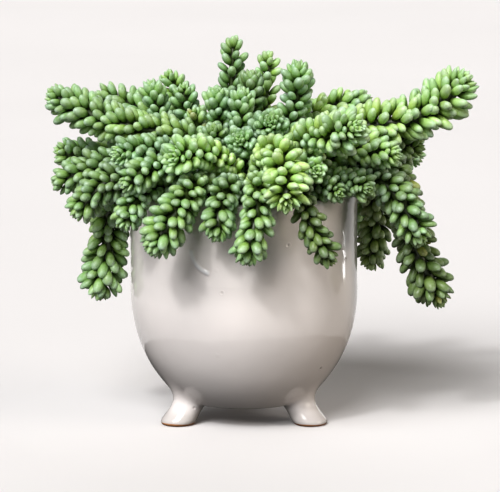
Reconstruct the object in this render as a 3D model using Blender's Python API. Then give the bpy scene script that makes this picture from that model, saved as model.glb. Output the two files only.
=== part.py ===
"""A burrito sedum in a three-footed glazed pot: the pot, the potting mix and each leafy stem.

Metres, +Z up, -Y towards the viewer. Heights are above the ground, and other distances are from the
pot's axis until the whole is moved to its origin.
"""

import math

import bmesh
import bpy
import numpy as np
from mathutils import Matrix, Vector

MM = 0.001

# The origin is on the ground below the middle of the whole, because the plant reaches further to the right.
POT_CENTRE = (-0.0100, 0.0, 0.0)

# The pot: an upright wall over an elliptical bowl, cut flat underneath.
POT_RADIUS = 0.076
POT_HEIGHT = 0.155
POT_WALL = 0.005
BOWL_TOP = 0.086
BOWL_DEPTH = 0.0873
POT_UNDERSIDE = 0.014
POT_FLOOR_TOP = 0.020
POT_SEGMENTS = 36
BOWL_STEPS = 6

# The feet: short round stubs that lean outwards.
FOOT_ANGLES_DEG = (90, 210, 330)
FOOT_RINGS = (
    # height, distance of the ring's centre from the pot's axis, ring radius
    (0.0, 0.0508, 0.0082),
    (0.0022, 0.0505, 0.0106),
    (0.0080, 0.0480, 0.0097),
    (0.0145, 0.0448, 0.0096),
    (0.0220, 0.0420, 0.0122),
    (0.0300, 0.0400, 0.0150),
)
FOOT_SEGMENTS = 12

# The potting mix fills the pot to a little under its rim, and each stem stands in its own plain hole.
SOIL_TOP = 0.141
SOIL_CROWN = 0.004
SOIL_GAP = 0.0005
SOIL_SEGMENTS = 20
HOLE_FLOOR = 0.125
HOLE_CLEARANCE = 0.0006

# A stem: a slim core, bare near the soil, then rows of three plump leaves, each row turned against the last.
STEM_RADIUS = 0.0022
CORE_RADIUS = 0.0034
CORE_TIP_SHARE = 0.35
LEAF_LENGTH = 0.0112
LEAF_WIDTH = 0.0112
LEAF_COLUMNS = 3
LEAF_PITCH = 0.0090
LAST_ROW_SHARE = 0.6
BELLY_AT = 0.62
BELLY_CROWDING = 0.84
TIP_SPAN = 0.020
TIP_LEAF_SCALE = 0.8
SIDE_TILT_DEG = 32
TIP_TILT_DEG = 52
SIZE_SPREAD = 0.08

# A leaf shrinks by steps until it keeps these distances from other stems, the pot and the potting mix.
LEAF_FITS = (1.0, 0.9, 0.8, 0.7, 0.6, 0.5, 0.4, 0.3, 0.2)
LEAF_GAP = 0.0005
WALL_GAP = 0.0016

# Where a stem leaves the potting mix: nearer the middle than its first point, and within a circle.
ROOT_SHARE = 0.86
ROOT_REACH = 0.058
ROOT_RISE = 0.008

# How stems share the room above the pot.
ROUTE_POINTS = 18
FINE_STEP = 0.0015
BARE_ROOM = 0.0042
BARE_FADE = 0.020
LEAFY_ROOM = 0.0090
TIP_ROOM_SHARE = 0.75
WALL_ROOM_SHARE = 0.95
SPREAD_ROUNDS = 160
SPREAD_PUSH = 0.22
LONGEST_PUSH = 0.0015
PULL_HOME = 0.02
PULL_TIP_HOME = 0.12
EVENING = 0.3
TINY = 1e-9

# Each stem above the soil: its girth against the usual one, its length without leaves, then the points it
# passes up to its tip. Lengths and points are in millimetres.
STEMS = {
    "stem_left_long": (1.2, 20, [(-34, -12, 184), (-64, -13, 194), (-94, -11, 202), (-127, -7, 219)]),
    "stem_left_under": (1.1, 20, [(-52, 20, 164), (-78, 22, 172), (-102, 22, 173), (-125, 20, 178)]),
    "stem_left_reach": (1.1, 20, [(-50, -12, 166), (-76, -16, 173), (-100, -18, 170), (-124, -16, 161)]),
    "stem_left_low": (1.15, 20, [(-50, -30, 160), (-78, -34, 166), (-97, -37, 158), (-109, -36, 143)]),
    "stem_left_hanging": (1.3, 20, [(-52, 3, 156), (-74, 3, 166), (-88, 0, 150), (-91, -2, 118),
                                    (-96, -2, 84)]),
    "stem_left_rosette": (1.1, 20, [(-40, -28, 178), (-60, -42, 185), (-82, -58, 185)]),
    "stem_left_front": (1.1, 20, [(-40, -38, 166), (-58, -56, 171), (-76, -74, 168)]),
    "stem_left_corner": (1.0, 20, [(-50, -44, 156), (-66, -62, 161), (-77, -72, 141)]),
    "stem_front_left": (1.2, 20, [(-24, -50, 160), (-32, -72, 165), (-44, -92, 150), (-57, -97, 129)]),
    "stem_front_pale": (1.2, 26, [(-2, -34, 174), (-16, -48, 182), (-30, -64, 183), (-44, -80, 187)]),
    "stem_back_left": (1.25, 20, [(-42, 38, 182), (-66, 47, 198), (-84, 53, 206), (-99, 56, 211)]),
    "stem_crown_left": (1.0, 34, [(-46, 14, 178), (-56, 15, 200), (-62, 13, 223)]),
    "stem_crown_mid_left": (1.0, 34, [(-32, 16, 178), (-38, 18, 200), (-41, 17, 221)]),
    "stem_back_pale": (1.1, 42, [(-28, 42, 180), (-42, 48, 205), (-52, 50, 226)]),
    "stem_crown_yellow": (0.85, 36, [(-22, 2, 176), (-29, 1, 194), (-34, 0, 209)]),
    "stem_crown_tall": (1.0, 34, [(-10, 22, 180), (-9, 25, 205), (-8, 27, 230), (-7, 28, 253)]),
    "stem_crown_second": (0.95, 48, [(10, 24, 180), (14, 26, 205), (15, 26, 225), (16, 25, 243)]),
    "stem_crown_right": (1.1, 34, [(28, 4, 178), (34, 3, 200), (36, 2, 218), (36, -1, 237)]),
    "stem_crown_dark": (0.95, 48, [(2, 8, 185), (4, 9, 208), (5, 7, 230)]),
    "stem_crown_front": (1.0, 34, [(-2, -8, 180), (-2, -10, 200), (-1, -13, 220)]),
    "stem_crown_side": (0.95, 34, [(-15, 0, 180), (-18, -1, 200), (-19, -4, 220)]),
    "stem_crown_rosette": (1.15, 30, [(12, -16, 180), (16, -28, 195), (17, -46, 206)]),
    "stem_centre_rosette": (1.0, 30, [(2, -20, 172), (0, -34, 187), (-3, -50, 195)]),
    "stem_centre_small": (0.9, 30, [(-14, -14, 170), (-18, -20, 186), (-20, -28, 198)]),
    "stem_front_main": (1.35, 20, [(14, -38, 176), (20, -58, 186), (25, -78, 182), (27, -94, 172),
                                   (27, -106, 161)]),
    "stem_front_short": (1.05, 20, [(-8, -52, 158), (-11, -74, 165), (-15, -90, 153), (-17, -96, 138)]),
    "stem_front_drop": (1.05, 20, [(6, -56, 160), (8, -78, 166), (8, -96, 152), (5, -102, 138),
                                   (1, -103, 124)]),
    "stem_front_shade": (1.0, 20, [(26, -54, 158), (35, -76, 163), (41, -90, 147), (48, -92, 133),
                                   (55, -90, 121)]),
    "stem_front_bud": (0.95, 20, [(36, -40, 165), (42, -58, 174), (46, -75, 177)]),
    "stem_right_bud": (0.9, 20, [(46, -42, 158), (55, -54, 163), (61, -66, 161)]),
    "stem_right_rosette": (1.35, 20, [(28, -26, 182), (42, -46, 191), (56, -66, 198), (71, -86, 206)]),
    "stem_right_front": (1.0, 20, [(50, -36, 160), (66, -50, 166), (79, -66, 164)]),
    "stem_right_side": (1.1, 20, [(60, -22, 172), (80, -32, 181), (99, -44, 183)]),
    "stem_right_long": (1.5, 20, [(44, -4, 182), (66, -6, 193), (88, -7, 197), (108, -7, 201), (128, -7, 211),
                                  (146, -7, 230)]),
    "stem_right_under": (1.1, 20, [(58, 6, 166), (80, 8, 176), (100, 6, 182), (117, 3, 182)]),
    "stem_right_fall": (1.2, 20, [(56, -20, 160), (77, -29, 169), (94, -40, 162), (106, -47, 146),
                                  (115, -50, 128)]),
    "stem_right_hanging": (1.3, 20, [(60, -4, 164), (84, -8, 174), (100, -14, 163), (108, -20, 140),
                                     (116, -24, 112), (130, -24, 83)]),
    "stem_right_back": (1.1, 20, [(56, 18, 156), (78, 24, 163), (90, 28, 142), (89, 29, 118), (86, 29, 98)]),
    "stem_right_pale": (1.2, 20, [(28, 22, 180), (46, 29, 196), (64, 33, 204), (84, 34, 208)]),
    "stem_back_1": (1.2, 20, [(48, 36, 158), (68, 48, 165), (83, 59, 146), (85, 64, 116)]),
    "stem_back_2": (1.2, 20, [(28, 52, 158), (39, 72, 166), (48, 90, 150), (52, 97, 122)]),
    "stem_back_3": (1.2, 20, [(4, 58, 158), (5, 80, 166), (6, 99, 146), (8, 103, 112)]),
    "stem_back_4": (1.2, 20, [(-20, 56, 158), (-28, 76, 166), (-36, 94, 150), (-40, 100, 126)]),
    "stem_back_5": (1.2, 20, [(-42, 42, 158), (-58, 60, 166), (-70, 76, 150), (-74, 80, 116)]),
    "stem_back_6": (1.2, 20, [(22, 40, 176), (38, 58, 192), (56, 76, 194), (72, 92, 186)]),
    "stem_back_7": (1.2, 20, [(2, 44, 180), (2, 62, 196), (0, 82, 202), (-4, 104, 200)]),
    "stem_back_8": (1.2, 20, [(-22, 62, 172), (-34, 78, 184), (-50, 94, 186), (-66, 106, 178)]),
    "stem_back_9": (1.15, 20, [(-8, 60, 158), (-13, 80, 166), (-17, 99, 150), (-18, 104, 126)]),
    "stem_back_10": (1.15, 20, [(40, 44, 158), (56, 62, 166), (69, 77, 152), (73, 83, 128)]),
    "stem_back_right": (1.2, 20, [(56, 34, 172), (78, 46, 182), (100, 54, 180), (118, 58, 166)]),
    "stem_back_side": (1.15, 20, [(-54, 28, 160), (-76, 38, 170), (-96, 46, 160), (-106, 50, 140)]),
}

# Base colour and roughness.
GLAZE = ((0.83, 0.80, 0.78), 0.15)
POTTING_MIX = ((0.06, 0.04, 0.03), 0.95)
LEAF = ((0.20, 0.34, 0.13), 0.5)
SHARP_EDGE_DEG = 50


def material(name, colour, roughness):
    made = bpy.data.materials.new(name)
    made.use_nodes = True
    shader = made.node_tree.nodes["Principled BSDF"]
    shader.inputs["Base Color"].default_value = (*colour, 1)
    shader.inputs["Roughness"].default_value = roughness
    shader.inputs["Metallic"].default_value = 0
    return made


def add_object(name, bm, finish):
    """One object from a finished bmesh, with its own material, smooth but for its sharp edges."""
    mesh = bpy.data.meshes.new(name)
    bmesh.ops.recalc_face_normals(bm, faces=bm.faces)
    bm.to_mesh(mesh)
    bm.free()
    mesh.materials.append(material(name, *finish))
    mesh.shade_smooth()
    mesh.set_sharp_from_angle(angle=math.radians(SHARP_EDGE_DEG))
    made = bpy.data.objects.new(name, mesh)
    bpy.context.scene.collection.objects.link(made)
    return made


def cut_or_join(target, tool, operation):
    """Joins tool to target, or cuts it away, and removes tool."""
    modifier = target.modifiers.new("Boolean", "BOOLEAN")
    modifier.operation = operation
    modifier.object = tool
    bpy.context.view_layer.update()
    graph = bpy.context.evaluated_depsgraph_get()
    result = bpy.data.meshes.new_from_object(target.evaluated_get(graph))
    target.modifiers.clear()
    target.data = result
    bpy.data.objects.remove(tool)


def join_rings(bm, low, high):
    """A band of faces between two rings of as many corners."""
    for i in range(len(low)):
        j = (i + 1) % len(low)
        bm.faces.new((low[i], low[j], high[j], high[i]))


def bowl_radius(height, inset):
    """The radius of the pot's body at a height, taken in from the glazed outside by inset."""
    below = BOWL_TOP - height
    if below <= 0:
        return POT_RADIUS - inset
    share = below / (BOWL_DEPTH - inset)
    return (POT_RADIUS - inset) * math.sqrt(max(0.0, 1 - share * share))


def bowl_heights(lowest):
    """Heights up the bowl, closer together where it curves most."""
    shares = [math.sin(math.pi / 2 * i / BOWL_STEPS) ** 1.5 for i in range(BOWL_STEPS + 1)]
    return [lowest + (BOWL_TOP - lowest) * share for share in shares]


def turned(profile, segments):
    """A closed bmesh from a profile of (radius, height) that starts and ends on the axis."""
    bm = bmesh.new()
    verts = [bm.verts.new((r, 0, z)) for r, z in profile]
    edges = [bm.edges.new(pair) for pair in zip(verts, verts[1:])]
    bmesh.ops.spin(bm, geom=verts + edges, axis=(0, 0, 1), cent=(0, 0, 0), dvec=(0, 0, 0), angle=2 * math.pi,
                   steps=segments, use_merge=False, use_duplicate=False)
    bmesh.ops.remove_doubles(bm, verts=bm.verts, dist=1e-6)
    return bm


def foot_solid(angle_deg):
    """A stub that leans outwards from a narrow ankle to a flat base on the ground."""
    bm = bmesh.new()
    direction = Vector((math.cos(math.radians(angle_deg)), math.sin(math.radians(angle_deg)), 0))
    loops = []
    for height, reach, radius in FOOT_RINGS:
        loop = []
        for i in range(FOOT_SEGMENTS):
            turn = 2 * math.pi * i / FOOT_SEGMENTS
            around = Vector((radius * math.cos(turn), radius * math.sin(turn), height))
            loop.append(bm.verts.new(direction * reach + around))
        loops.append(loop)
    bm.faces.new(reversed(loops[0]))
    bm.faces.new(loops[-1])
    for low, high in zip(loops, loops[1:]):
        join_rings(bm, low, high)
    return bm


def cavity_profile():
    """The inside of the pot, opening out at the rim so that the lip is eased on both sides."""
    lip = POT_WALL / 2
    inner = [(bowl_radius(z, POT_WALL), z) for z in bowl_heights(POT_FLOOR_TOP)]
    return [(0, POT_FLOOR_TOP)] + inner + [
        (POT_RADIUS - POT_WALL, POT_HEIGHT - 0.8 * lip),
        (POT_RADIUS - 0.9 * lip, POT_HEIGHT + 0.3 * lip),
        (0, POT_HEIGHT + 0.3 * lip),
    ]


def build_pot():
    lip = POT_WALL / 2
    outside = [(0, POT_UNDERSIDE)] + [(bowl_radius(z, 0), z) for z in bowl_heights(POT_UNDERSIDE)]
    outside += [
        (POT_RADIUS, POT_HEIGHT - lip),
        (POT_RADIUS - 0.25 * lip, POT_HEIGHT - 0.35 * lip),
        (POT_RADIUS - 0.85 * lip, POT_HEIGHT),
        (0, POT_HEIGHT),
    ]
    pot = add_object("pot", turned(outside, POT_SEGMENTS), GLAZE)
    for angle in FOOT_ANGLES_DEG:
        cut_or_join(pot, add_object("foot", foot_solid(angle), GLAZE), "UNION")
    cut_or_join(pot, add_object("cavity", turned(cavity_profile(), POT_SEGMENTS), GLAZE), "DIFFERENCE")


def build_soil(routes):
    """The potting mix, lower at the wall than in the middle, with a hole for each stem."""
    wall = POT_WALL + SOIL_GAP
    bottom = POT_FLOOR_TOP + SOIL_GAP
    profile = [(0, bottom)]
    profile += [(bowl_radius(z, wall), max(z, bottom)) for z in bowl_heights(POT_FLOOR_TOP)[:-1:2]]
    profile += [
        (POT_RADIUS - wall, SOIL_TOP - SOIL_CROWN),
        (0.6 * POT_RADIUS, SOIL_TOP - 0.3 * SOIL_CROWN),
        (0, SOIL_TOP),
    ]
    soil = add_object("soil", turned(profile, SOIL_SEGMENTS), POTTING_MIX)
    holes = bmesh.new()
    radius = STEM_RADIUS + HOLE_CLEARANCE / math.cos(math.pi / LEAF_COLUMNS)
    for route in routes.values():
        floor = upright_ring(holes, route.root, HOLE_FLOOR, radius)
        top = upright_ring(holes, route.root, POT_HEIGHT, radius)
        join_rings(holes, floor, top)
        holes.faces.new(reversed(floor))
        holes.faces.new(top)
    cut_or_join(soil, add_object("holes", holes, POTTING_MIX), "DIFFERENCE")


def smooth_curve(points, count):
    """A Catmull-Rom curve through points, as count points evenly spaced along it."""
    points = np.asarray(points, float)
    ends = np.vstack([2 * points[0] - points[1], points, 2 * points[-1] - points[-2]])
    dense = []
    for i in range(1, len(ends) - 2):
        a, b, c, d = ends[i - 1 : i + 3]
        for t in np.linspace(0, 1, 24, endpoint=False):
            cubic = 3 * b - a - 3 * c + d
            dense.append(0.5 * (2 * b + (c - a) * t + (2 * a - 5 * b + 4 * c - d) * t * t + cubic * t ** 3))
    dense.append(ends[-2])
    dense = np.array(dense)
    along = np.concatenate([[0], np.cumsum(np.linalg.norm(np.diff(dense, axis=0), axis=1))])
    marks = np.linspace(0, along[-1], count)
    return np.column_stack([np.interp(marks, along, dense[:, axis]) for axis in range(3)])


def first_routes():
    """Each stem's chosen points, started upright from the potting mix, as evenly spaced points."""
    routes = []
    for _, _, points in STEMS.values():
        points = np.array(points, float) * MM
        x, y = points[0, :2] * ROOT_SHARE * min(1, ROOT_REACH / (ROOT_SHARE * math.hypot(*points[0, :2])))
        rise = [(x, y, SOIL_TOP - SOIL_CROWN), (x, y, SOIL_TOP + ROOT_RISE)]
        routes.append(smooth_curve(np.vstack([rise, points]), ROUTE_POINTS))
    return np.array(routes)


def wall_distance(points):
    """How far points lie from the pot's upper wall, which is a ring with a rounded rim."""
    radial = np.linalg.norm(points[..., :2], axis=-1)
    above = np.maximum(0, points[..., 2] - (POT_HEIGHT - POT_WALL / 2))
    return np.hypot(radial - (POT_RADIUS - POT_WALL / 2), above) - POT_WALL / 2


def pushed_from_wall(points, room):
    """The points, with those that crowd the pot's wall or rim moved straight away from it."""
    radial = np.linalg.norm(points[..., :2], axis=-1, keepdims=True)
    outward = points[..., :2] / np.maximum(radial, TINY)
    above = np.maximum(0, points[..., 2:] - (POT_HEIGHT - POT_WALL / 2))
    away = np.concatenate([outward * (radial - (POT_RADIUS - POT_WALL / 2)), above], axis=-1)
    away /= np.maximum(np.linalg.norm(away, axis=-1, keepdims=True), TINY)
    return points + away * np.maximum(0, room - wall_distance(points))[..., None]


def kept_in_bounds(points, room):
    """The points kept off the pot's wall and above the potting mix, with each first point on it."""
    points = pushed_from_wall(points, WALL_ROOM_SHARE * room)
    over_soil = np.linalg.norm(points[..., :2], axis=-1) < POT_RADIUS
    points[..., 2] = np.where(over_soil, np.maximum(points[..., 2], SOIL_TOP + 0.25 * ROOT_RISE), points[..., 2])
    reach = np.linalg.norm(points[:, 0, :2], axis=1, keepdims=True)
    points[:, 0, :2] *= np.minimum(1, 1.09 * ROOT_REACH / reach)
    points[:, 0, 2] = SOIL_TOP - SOIL_CROWN
    return points


def room_along(routes):
    """How far each route point wants to be from what is round it, and its nearness to its tip, up to 1."""
    girth = np.array([girth for girth, _, _ in STEMS.values()])[:, None]
    bare = np.array([bare for _, bare, _ in STEMS.values()])[:, None] * MM
    length = np.linalg.norm(np.diff(routes, axis=1), axis=2).sum(axis=1)[:, None]
    along = np.linspace(0, 1, ROUTE_POINTS)[None] * length
    leafy = np.clip((along - 0.5 * bare) / BARE_FADE, 0, 1)
    from_tip = np.clip((length - along) / TIP_SPAN, 0, 1)
    full = LEAFY_ROOM * girth * (TIP_ROOM_SHARE + (1 - TIP_ROOM_SHARE) * from_tip)
    return BARE_ROOM + (full - BARE_ROOM) * leafy, 1 - from_tip


def spread_routes():
    """Moves the stems apart, a little at a time, until their leaves have room, with their tips nearly held."""
    home = first_routes()
    room, near_tip = room_along(home)
    owner = np.repeat(np.arange(len(home)), ROUTE_POINTS)
    others = owner[:, None] != owner[None]
    wanted = room.reshape(-1)[:, None] + room.reshape(-1)[None]
    hold = PULL_HOME + (PULL_TIP_HOME - PULL_HOME) * near_tip
    moved = np.zeros_like(home)
    for _ in range(SPREAD_ROUNDS):
        now = (home + moved).reshape(-1, 3)
        square = (now * now).sum(axis=1)
        distance = np.sqrt(np.maximum(square[:, None] + square[None] - 2 * now @ now.T, TINY * TINY))
        weight = np.where(others, np.maximum(0, wanted / distance - 1), 0)
        push = SPREAD_PUSH * (now * weight.sum(axis=1)[:, None] - weight @ now)
        size = np.linalg.norm(push, axis=1, keepdims=True)
        push *= np.minimum(1, LONGEST_PUSH / np.maximum(size, TINY))
        moved += push.reshape(moved.shape)
        moved -= moved * hold[..., None]
        moved[:, 1:-1] += EVENING * (0.5 * (moved[:, :-2] + moved[:, 2:]) - moved[:, 1:-1])
        moved[:, 1, :2] = 0.5 * (moved[:, 0, :2] + moved[:, 1, :2])
        moved = kept_in_bounds(home + moved, room) - home
    return home + moved


def upright_ring(bm, centre, height, radius):
    """Level corners round an upright axis, turned the same way for each stem and its hole."""
    verts = []
    for column in range(LEAF_COLUMNS):
        turn = 2 * math.pi * column / LEAF_COLUMNS
        corner = (centre[0] + radius * math.cos(turn), centre[1] + radius * math.sin(turn), height)
        verts.append(bm.verts.new(corner))
    return verts


class Route:
    """One stem's centreline above the soil, with a frame that travels along it without twisting."""

    def __init__(self, points, girth, bare):
        self.girth = girth
        self.bare = bare
        self.length = float(np.linalg.norm(np.diff(points, axis=0), axis=1).sum())
        count = int(self.length / FINE_STEP) + 2
        self.points = smooth_curve(points, count)
        self.root = self.points[0]
        tangents = np.gradient(self.points, axis=0)
        tangents /= np.linalg.norm(tangents, axis=1, keepdims=True)
        normal = np.array([1.0, 0, 0])
        normals = []
        for tangent in tangents:
            normal = normal - tangent * (normal @ tangent)
            normal /= np.linalg.norm(normal)
            normals.append(normal)
        self.tangents, self.normals = tangents, np.array(normals)

    def at(self, along):
        """The point at a distance along the stem, with its tangent and two directions across it."""
        place = np.clip(along / self.length, 0, 1) * (len(self.points) - 1)
        low = min(int(place), len(self.points) - 2)
        share = place - low
        point = self.points[low] * (1 - share) + self.points[low + 1] * share
        tangent = self.tangents[low] * (1 - share) + self.tangents[low + 1] * share
        tangent /= np.linalg.norm(tangent)
        normal = self.normals[low] * (1 - share) + self.normals[low + 1] * share
        normal -= tangent * (normal @ tangent)
        normal /= np.linalg.norm(normal)
        return point, tangent, normal, np.cross(tangent, normal)


def ring(bm, route, along, radius, turn):
    point, _, normal, side = route.at(along)
    verts = []
    for column in range(LEAF_COLUMNS):
        angle = 2 * math.pi * (column + turn) / LEAF_COLUMNS
        verts.append(bm.verts.new(point + radius * (math.cos(angle) * normal + math.sin(angle) * side)))
    return verts


def core_of(route):
    """The stem's core: bare rings from the bottom of its hole, then staggered rings with a leaf on each diamond.

    It returns the bmesh and, for each diamond, its corners, its distance along the stem and its turn.
    """
    bm = bmesh.new()
    leafy_length = route.length - route.bare
    rows = max(2, round(leafy_length / (LEAF_PITCH * route.girth)))
    pitch = leafy_length / (rows + LAST_ROW_SHARE)
    heights = (HOLE_FLOOR + SOIL_GAP, SOIL_TOP + SOIL_GAP)
    bare = [upright_ring(bm, route.root, height, STEM_RADIUS) for height in heights]
    bare.append(ring(bm, route, 0.5 * route.bare, STEM_RADIUS, 0))
    rings = [ring(bm, route, route.bare, STEM_RADIUS, 0)]
    bare.append(rings[0])
    for row in range(1, rows + 1):
        left = (rows + LAST_ROW_SHARE - row) * pitch
        radius = CORE_RADIUS * route.girth * min(1, CORE_TIP_SHARE + left / TIP_SPAN)
        rings.append(ring(bm, route, route.bare + row * pitch, radius, 0.5 * (row % 2)))
    apex = bm.verts.new(route.at(route.length)[0])
    bm.faces.new(reversed(bare[0]))
    for low, high in zip(bare, bare[1:]):
        join_rings(bm, low, high)
    for i in range(LEAF_COLUMNS):
        bm.faces.new((rings[0][i], rings[0][(i + 1) % LEAF_COLUMNS], rings[1][i]))
    diamonds = []
    for row in range(1, rows + 1):
        odd = row % 2
        for i in range(LEAF_COLUMNS):
            j = (i + 1) % LEAF_COLUMNS
            between = (i + odd) % LEAF_COLUMNS
            upper = rings[row + 1][between] if row < rows else apex
            root = (rings[row - 1][between], rings[row][j], upper, rings[row][i])
            turn = 2 * math.pi * (i + 0.5 + 0.5 * odd) / LEAF_COLUMNS
            diamonds.append((root, route.bare + row * pitch, turn))
    return bm, diamonds


def clear_of_others(root, points, own, others):
    """True where a leaf is nearer its own stem than any other by a gap, and clear of the pot and soil."""
    belly, tip = points[:4], points[4:]
    halfway = [0.5 * (root + belly), 0.5 * (belly + np.roll(belly, 1, axis=0)), 0.5 * (belly + tip)]
    points = np.vstack([points] + halfway)
    to_own = np.linalg.norm(points[:, None] - own[None], axis=2).min(axis=1)
    to_others = np.linalg.norm(points[:, None] - others[None], axis=2).min(axis=1)
    off_soil = points[:, 2] > SOIL_TOP + LEAF_GAP
    inside = np.linalg.norm(points[:, :2], axis=1) < POT_RADIUS
    return bool((to_others - to_own > 2 * LEAF_GAP).all() and (wall_distance(points) > WALL_GAP).all()
                and (off_soil | ~inside).all())


def leaf_points(route, centre, along, angle, fit, jitter):
    """A leaf's four belly points, in the order of its root corners, and then its tip."""
    _, tangent, normal, side = route.at(along)
    out = math.cos(angle) * normal + math.sin(angle) * side
    left = route.length - along
    grown = min(1.0, left / TIP_SPAN)
    size = route.girth * (TIP_LEAF_SCALE + (1 - TIP_LEAF_SCALE) * grown) * jitter
    tilt = math.radians(TIP_TILT_DEG + (SIDE_TILT_DEG - TIP_TILT_DEG) * grown)
    direction = math.cos(tilt) * out + math.sin(tilt) * tangent
    across = np.cross(tangent, out)
    upward = np.cross(direction, across)
    length = LEAF_LENGTH * size * fit
    belly = centre + direction * (BELLY_AT * length)
    spoke = (belly - route.at(along)[0]) @ out
    widest = BELLY_CROWDING * spoke * math.sin(math.pi / LEAF_COLUMNS)
    half = min(0.5 * LEAF_WIDTH * size * math.sqrt(fit), widest)
    return np.array([
        belly - upward * half,
        belly + across * half,
        belly + upward * half,
        belly - across * half,
        centre + direction * length,
    ])


def add_leaf(bm, root, points):
    """Closes a leaf over its four root corners: out to its belly, then in to its tip."""
    made = [bm.verts.new(point) for point in points]
    tip = made.pop()
    for i in range(4):
        j = (i + 1) % 4
        bm.faces.new((root[i], root[j], made[j], made[i]))
        bm.faces.new((made[i], made[j], tip))


def build_stem(name, route, others, seed):
    bm, diamonds = core_of(route)
    random = np.random.default_rng(seed)
    for root, along, angle in diamonds:
        corners = np.array([corner.co for corner in root])
        centre = corners.mean(axis=0)
        jitter = 1 + SIZE_SPREAD * random.uniform(-1, 1)
        for fit in LEAF_FITS:
            points = leaf_points(route, centre, along, angle, fit, jitter)
            if clear_of_others(corners, points, route.points, others):
                break
        add_leaf(bm, root, points)
    add_object(name, bm, LEAF)


def build_plant():
    routes = {}
    for (name, (girth, bare, _)), points in zip(STEMS.items(), spread_routes()):
        routes[name] = Route(points, girth, bare * MM)
    for seed, (name, route) in enumerate(routes.items()):
        others = np.vstack([other.points for other in routes.values() if other is not route])
        build_stem(name, route, others, seed)
    return routes


def main():
    for old in list(bpy.data.objects):
        bpy.data.objects.remove(old)
    build_pot()
    routes = build_plant()
    build_soil(routes)
    for made in bpy.data.objects:
        made.data.transform(Matrix.Translation(POT_CENTRE))


main()
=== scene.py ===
import math

import bpy
import numpy as np
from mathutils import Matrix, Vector


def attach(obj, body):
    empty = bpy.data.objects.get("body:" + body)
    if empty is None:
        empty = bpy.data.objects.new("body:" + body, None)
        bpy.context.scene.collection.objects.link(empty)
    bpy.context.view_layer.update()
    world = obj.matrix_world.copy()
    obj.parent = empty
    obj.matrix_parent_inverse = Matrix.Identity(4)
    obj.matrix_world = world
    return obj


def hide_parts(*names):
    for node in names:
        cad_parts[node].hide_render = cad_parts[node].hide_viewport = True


# The looks of the potted burrito sedum: its pot, potting mix and leafy stems, and the light and camera.
# Metres, +Z up, -Y towards the viewer. Distances are from the pot's axis until a piece is moved to its place.

MM = 0.001
POT_CENTRE = (-0.0100, 0.0, 0.0)

# The photo's view.
AIM = (-0.006, 0.0, 0.116)
CAMERA_DISTANCE = 1.8
CAMERA_ELEVATION_DEG = 9.3
CAMERA_LENS_MM = 193.4
WINDOW_DIRECTION = (0.34, 0.62, -0.71)
BACK_DIRECTION = (-0.15, -0.92, -0.36)
FRONT_DIRECTION = (0.25, 0.95, -0.15)
WARM_DIRECTION = (-0.94, 0.33, -0.26)
STRIP_PLACE = (0.365, 0.163, 0.12)
FLOOR_REACH = 8.0
REFLECTOR_RADIUS = 0.175
REFLECTOR_SIDES = 64
REFLECTOR_HEIGHT = 0.0005
SKY_STRENGTH = 0.05

# The pot, as in the solids.
POT_RADIUS = 0.076
POT_HEIGHT = 0.155
POT_WALL = 0.005
BOWL_TOP = 0.086
BOWL_DEPTH = 0.0873
POT_UNDERSIDE = 0.014
POT_FLOOR_TOP = 0.020
FOOT_ANGLES_DEG = (90, 210, 330)
SOIL_TOP = 0.141
SOIL_CROWN = 0.004

# The pot's surface.
POT_SEGMENTS = 160
BOWL_STEPS = 40
BOWL_STEP_EASE = 1.5
WALL_STEPS = 28
LIP_STEPS = 7
INNER_WALL_STEPS = 10
INNER_BOWL_STEPS = 12
UNDERSIDE_SHARES = (0.0, 0.25, 0.5, 0.75, 0.9)
# The wall's waver, and each of its waves: size, count round the pot, slant up the wall and start.
WAVER = 0.0003
WAVES = ((1.0, 3, 40, 0), (0.6, 5, -70, 1.3), (0.4, 2, 160, 0))
WAVE_FADE_BELOW = 0.03
WAVE_FADE_ABOVE = 0.01
FOOT_SEGMENTS = 48
FOOT_STEPS = 16
# A foot's height, the distance of its centre from the pot's axis, and its radius.
FOOT_STUB = ((0.0, 0.0508, 0.0094), (0.0007, 0.0510, 0.0109), (0.0020, 0.0506, 0.0117),
             (0.0038, 0.0495, 0.0118), (0.0058, 0.0480, 0.0115), (0.0078, 0.0464, 0.0112),
             (0.0098, 0.0448, 0.0111))
FOOT_FLARE = 0.0150
FOOT_FLARE_INNER = 0.0215
FLARE_PULLS = (0.42, 0.50)
FLARE_SLOPE_REACH = 1.02
FLARE_SINK = 0.00005
UNGLAZED_HEIGHT = 0.0016
UNGLAZED_WAVER = 0.0009
UNGLAZED_BLEND = 0.0002
# A thick run of glaze on the front: the middle of its arc as x and z, the arc's radius, the half widths of
# the run and of its crest, and its thickness. From the middle of the arc, the run fades out on the left at
# its side distance, and upwards at its top. The wall's steps are cut finer over its turns and heights.
RUN_CENTRE = (-0.0188, 0.1244)
RUN_RADIUS = 0.015
RUN_HALF_WIDTH = 0.0022
RUN_CREST = 0.0003
RUN_THICKNESS = 0.0006
RUN_SIDE = -0.0030
RUN_SIDE_FADE = 0.0015
RUN_TOP = 0.0010
RUN_TOP_FADE = 0.0020
RUN_TURNS = (math.radians(240), math.radians(256))
RUN_HEIGHTS = (0.1045, 0.1270)
RUN_CUTS = 6

# The potting mix: its surface, its lower edge inside the bowl, and the crumbs that lie on it.
SOIL_SEED = 7
SOIL_SEGMENTS = 90
SOIL_RINGS = 34
SOIL_SIDE_GAP = 0.0003
SOIL_ROUGHNESS = 0.0007
SOIL_SKIRT = (0.05, 0.03, 0.0206)
CRUMBS = 900
CRUMB_SIZES = (0.0005, 0.0019)
CRUMB_LIFT = 0.2
CRUMB_STRETCHES = (0.6, 1.1)
CRUMB_SKEW = 0.2
CRUMB_EDGE_GAP = 0.002

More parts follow.
